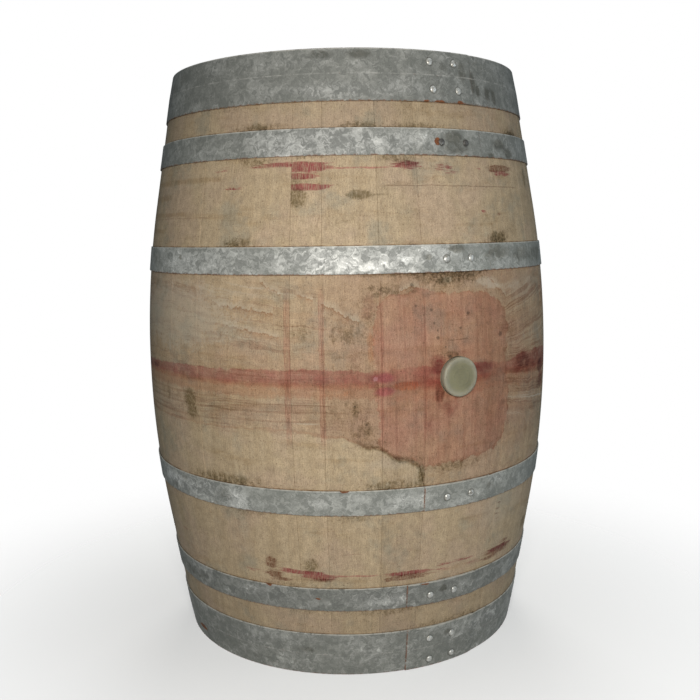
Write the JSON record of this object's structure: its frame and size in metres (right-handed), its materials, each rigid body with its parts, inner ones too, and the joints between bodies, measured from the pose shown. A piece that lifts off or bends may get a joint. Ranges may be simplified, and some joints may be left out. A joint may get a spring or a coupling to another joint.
{
  "type": "oak wine barrel",
  "caption": "Upright oak wine barrel: bent staves bound by riveted galvanised hoops, two jointed heads held in croze grooves, and a silicone bung that pulls out of the bilge.",
  "frame": {"origin": "on the barrel's axis in the plane of the lower stave ends, where it stands", "axes": "+Z along the barrel's axis, upwards; -Y is the side with the bung; +X is to the right when facing the bung"},
  "size_m": [0.7, 0.709, 0.95],
  "materials": {
    "stave_oak": "planed oak, weathered and wine-stained",
    "head_oak": "planed oak",
    "dowel_wood": "turned hardwood",
    "galvanised_strip": "hot-dip galvanised, dulled and spotted",
    "rivet_steel": "worn bright on the domes",
    "silicone": "smooth matte silicone"
  },
  "bodies": {
    "barrel": {"bottom_bilge_hoop": "galvanised_strip", "bottom_bilge_rivets": "rivet_steel", "bottom_head_board_1": "head_oak", "bottom_head_board_2": "head_oak", "bottom_head_board_3": "head_oak", "bottom_head_board_4": "head_oak", "bottom_head_board_5": "head_oak", "bottom_head_board_6": "head_oak", "bottom_head_dowels": "dowel_wood", "bottom_head_hoop": "galvanised_strip", "bottom_head_rivets": "rivet_steel", "bottom_quarter_hoop": "galvanised_strip", "bottom_quarter_rivets": "rivet_steel", "bung_stave": "stave_oak", "stave_01": "stave_oak", "stave_02": "stave_oak", "stave_03": "stave_oak", "stave_04": "stave_oak", "stave_05": "stave_oak", "stave_06": "stave_oak", "stave_07": "stave_oak", "stave_08": "stave_oak", "stave_09": "stave_oak", "stave_10": "stave_oak", "stave_11": "stave_oak", "stave_12": "stave_oak", "stave_13": "stave_oak", "stave_14": "stave_oak", "stave_15": "stave_oak", "stave_16": "stave_oak", "stave_17": "stave_oak", "stave_18": "stave_oak", "stave_19": "stave_oak", "stave_20": "stave_oak", "stave_21": "stave_oak", "stave_22": "stave_oak", "stave_23": "stave_oak", "stave_24": "stave_oak", "stave_25": "stave_oak", "stave_26": "stave_oak", "stave_27": "stave_oak", "stave_28": "stave_oak", "stave_29": "stave_oak", "top_bilge_hoop": "galvanised_strip", "top_bilge_rivets": "rivet_steel", "top_head_board_1": "head_oak", "top_head_board_2": "head_oak", "top_head_board_3": "head_oak", "top_head_board_4": "head_oak", "top_head_board_5": "head_oak", "top_head_board_6": "head_oak", "top_head_dowels": "dowel_wood", "top_head_hoop": "galvanised_strip", "top_head_rivets": "rivet_steel", "top_quarter_hoop": "galvanised_strip", "top_quarter_rivets": "rivet_steel"},
    "bung": {"bung": "silicone"}
  },
  "joints": [
    {"name": "bung_pull", "type": "slide", "parent": "barrel", "child": "bung", "axis": [0, -1, 0], "range_m": [0, 0.1]}
  ]
}
